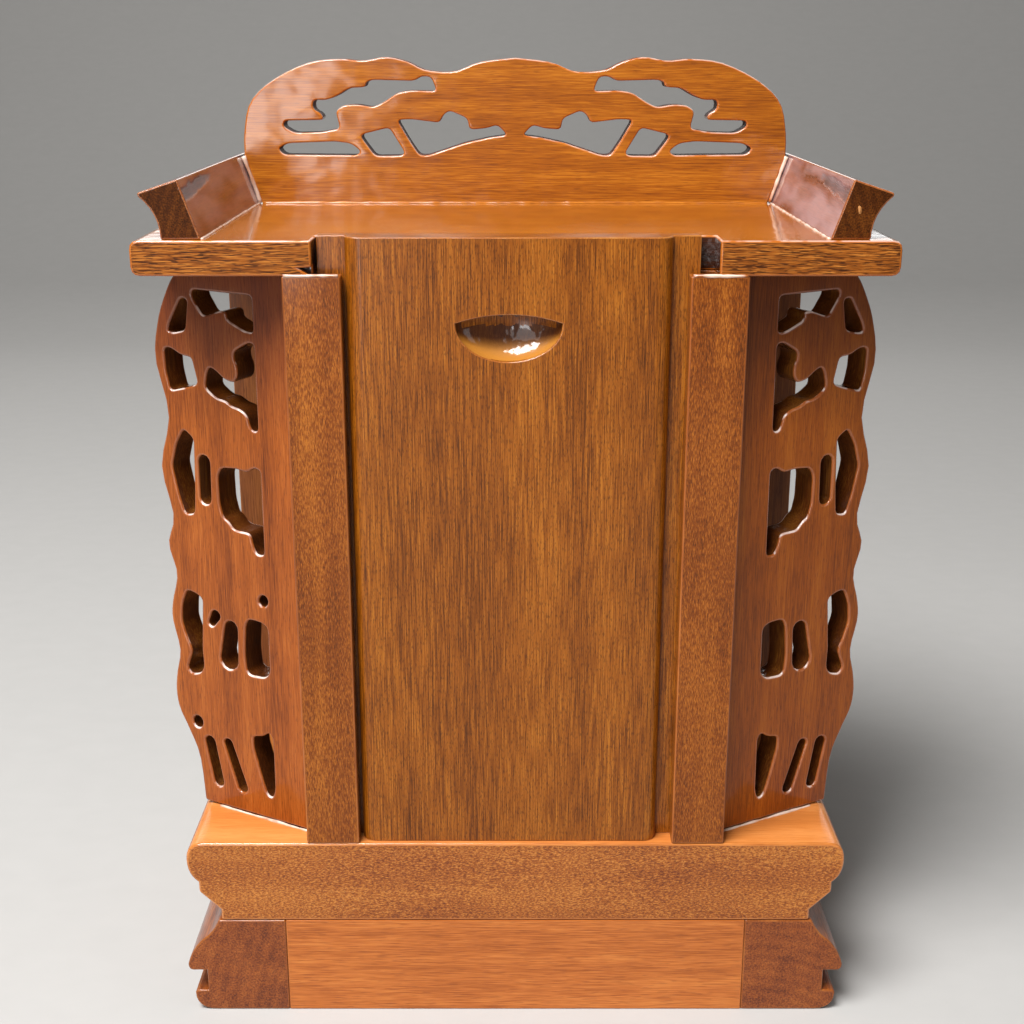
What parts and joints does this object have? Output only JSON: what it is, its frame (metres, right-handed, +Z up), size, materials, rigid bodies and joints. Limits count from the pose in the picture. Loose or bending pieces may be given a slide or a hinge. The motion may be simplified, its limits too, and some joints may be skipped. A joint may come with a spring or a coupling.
{
  "type": "household altar cabinet",
  "caption": "Small lacquered wood altar cabinet on a moulded base, with a front panel that lifts in grooves, pierced wings set back at an angle and a pierced crest board on top.",
  "frame": {"origin": "on the floor, under the middle of the cabinet", "axes": "+X to the viewer's right, +Y to the back, +Z up"},
  "size_m": [0.1864, 0.094, 0.2487],
  "materials": {
    "panel": "clear lacquer over vertical grain",
    "post": "clear lacquer over coarse vertical grain",
    "wing": "glossy clear lacquer over vertical grain",
    "base": "clear lacquer over horizontal grain",
    "plinth": "clear lacquer over lighter horizontal grain",
    "moulding": "clear lacquer, end grain at the front",
    "top": "thick glossy lacquer over orange-brown horizontal grain",
    "rail": "thick glossy lacquer",
    "carcass": "thin satin lacquer"
  },
  "bodies": {
    "cabinet": {"plinth_board": "plinth", "plinth_moulding_left": "moulding", "plinth_moulding_right": "moulding", "base_slab": "base", "post_left": "post", "post_right": "post", "side_wall_left": "carcass", "side_wall_right": "carcass", "back_board": "carcass", "wing_left": "wing", "wing_right": "wing", "top_slab": "top", "end_rail_left": "rail", "end_rail_right": "rail", "crest_board": "top"},
    "panel": {"front_panel": "panel"}
  },
  "joints": [
    {"name": "panel_slide", "type": "slide", "parent": "cabinet", "child": "panel", "axis": [0, 0, 1], "range_m": [0, 0.135]}
  ]
}
